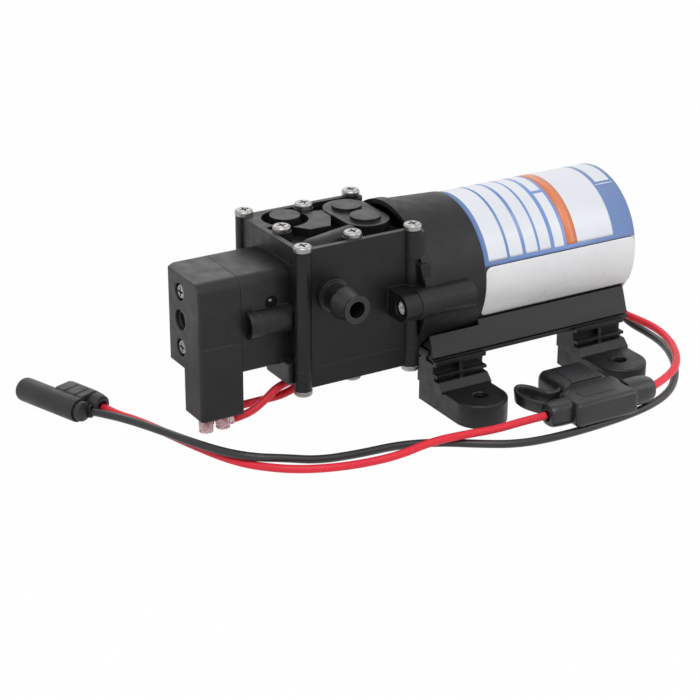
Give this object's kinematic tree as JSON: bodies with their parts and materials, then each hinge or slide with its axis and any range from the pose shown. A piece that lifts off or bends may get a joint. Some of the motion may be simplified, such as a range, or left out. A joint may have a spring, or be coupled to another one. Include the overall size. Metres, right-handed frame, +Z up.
{
  "type": "caravan water pump",
  "caption": "12 V diaphragm water pump with pressure switch, motor on a rail with rubber feet, leads with a fuse holder and a plug.",
  "frame": {"origin": "centre of the four foot holes, on the surface that the feet stand on", "axes": "+X along the motor shaft from the pressure switch to the rear of the motor, +Z up, the front spigot points to -Y"},
  "size_m": [0.2167, 0.1195, 0.067],
  "materials": {
    "housing_plastic": "satin",
    "motor_enamel": "satin",
    "rail_plastic": "matte",
    "foot_rubber": "matte",
    "screw_steel": "polished",
    "turned_steel": "satin",
    "bearing_steel": "polished",
    "valve_rubber": "matte",
    "valve_plastic": "matte",
    "magnet_ferrite": "matte",
    "core_steel": "satin",
    "winding_copper": "satin",
    "contact_brass": "polished",
    "brush_carbon": "matte",
    "brush_ring_plastic": "matte",
    "switch_red": "matte",
    "sleeve_clear": "gloss",
    "wire_red": "satin",
    "wire_black": "satin",
    "fuse_plastic": "gloss"
  },
  "bodies": {
    "pump": {"black_lead": "wire_black", "blade_fuse": "fuse_plastic", "bottom_head": "housing_plastic", "bottom_screws": "screw_steel", "brush_ring": "brush_ring_plastic", "carbon_brushes": "brush_carbon", "clamp_screws": "screw_steel", "cover_screws": "screw_steel", "field_magnets": "magnet_ferrite", "front_bearing": "bearing_steel", "front_spigot": "housing_plastic", "fuse_base": "housing_plastic", "fuse_strap": "foot_rubber", "lower_diaphragm": "valve_rubber", "lower_valve_plate": "valve_plastic", "lower_valves": "valve_rubber", "microswitch": "switch_red", "motor_adapter": "housing_plastic", "motor_can": "motor_enamel", "motor_front_plate": "turned_steel", "motor_rear_cap": "turned_steel", "mounting_rail": "rail_plastic", "plug_contacts": "contact_brass", "plug_shell": "housing_plastic", "pressure_spring": "turned_steel", "pump_body": "housing_plastic", "rail_screws": "screw_steel", "rear_bearing": "bearing_steel", "rear_spigot": "housing_plastic", "red_lead_motor": "wire_red", "red_lead_plug": "wire_red", "spigot_seals": "valve_rubber", "switch_cover": "housing_plastic", "switch_housing": "housing_plastic", "switch_membrane": "valve_rubber", "switch_screws": "screw_steel", "switch_wires": "wire_red", "terminal_sleeves": "sleeve_clear", "top_head": "housing_plastic", "top_screws": "screw_steel", "upper_diaphragm": "valve_rubber", "upper_valve_plate": "valve_plastic", "upper_valves": "valve_rubber"},
    "rotor": {"motor_shaft": "turned_steel", "eccentric": "turned_steel", "armature_core": "core_steel", "armature_winding": "winding_copper", "commutator": "contact_brass"},
    "yoke_set": {"yoke": "valve_plastic", "eccentric_bearing": "bearing_steel", "piston_caps": "valve_plastic"},
    "seat": {"spring_seat": "valve_plastic"},
    "adjuster": {"adjuster_screw": "housing_plastic"},
    "sensor": {"sensing_piston": "valve_plastic"},
    "button": {"microswitch_button": "switch_red"},
    "foot_fl": {"foot_front_left": "foot_rubber"},
    "foot_fr": {"foot_front_right": "foot_rubber"},
    "foot_rl": {"foot_rear_left": "foot_rubber"},
    "foot_rr": {"foot_rear_right": "foot_rubber"},
    "cap": {"fuse_cap": "housing_plastic"}
  },
  "joints": [
    {"name": "rotor_spin", "type": "hinge", "parent": "pump", "child": "rotor", "pos_m": [0, 0, 0.0406], "axis": [1, 0, 0], "continuous": true},
    {"name": "yoke_orbit", "type": "hinge", "parent": "rotor", "child": "yoke_set", "pos_m": [-0.0655, 0, 0.0416], "axis": [1, 0, 0], "continuous": true, "deforming": ["upper_diaphragm", "lower_diaphragm"]},
    {"name": "seat_slide", "type": "slide", "parent": "pump", "child": "seat", "axis": [1, 0, 0], "range_m": [-0.002, 0.002], "deforming": ["pressure_spring"]},
    {"name": "adjuster_turn", "type": "hinge", "parent": "seat", "child": "adjuster", "pos_m": [-0.112, 0, 0.0406], "axis": [1, 0, 0], "range_deg": [-720, 720]},
    {"name": "sensor_slide", "type": "slide", "parent": "pump", "child": "sensor", "axis": [-1, 0, 0], "range_m": [0, 0.001], "stiffness_N_per_m": 3000, "springref_m": -0.003, "deforming": ["pressure_spring"]},
    {"name": "button_slide", "type": "slide", "parent": "pump", "child": "button", "axis": [-1, 0, 0], "range_m": [0, 0.001], "stiffness_N_per_m": 200, "springref_m": -0.001},
    {"name": "foot_fl_slide", "type": "slide", "parent": "pump", "child": "foot_fl", "axis": [1, 0, 0], "range_m": [0, 0.002]},
    {"name": "foot_fr_slide", "type": "slide", "parent": "pump", "child": "foot_fr", "axis": [1, 0, 0], "range_m": [-0.005, 0.0035]},
    {"name": "foot_rl_slide", "type": "slide", "parent": "pump", "child": "foot_rl", "axis": [1, 0, 0], "range_m": [0, 0.018]},
    {"name": "foot_rr_slide", "type": "slide", "parent": "pump", "child": "foot_rr", "axis": [1, 0, 0], "range_m": [-0.018, 0.0035]},
    {"name": "fuse_cap_slide", "type": "slide", "parent": "pump", "child": "cap", "axis": [0, 1, 0], "range_m": [0, 0.02], "deforming": ["fuse_strap"]}
  ],
  "couplings": [
    {"joint": "yoke_orbit", "follows": "rotor_spin", "ratio": -1},
    {"joint": "adjuster_turn", "follows": "seat_slide", "rad_per_m": 6283},
    {"joint": "button_slide", "follows": "sensor_slide", "ratio": 1}
  ]
}
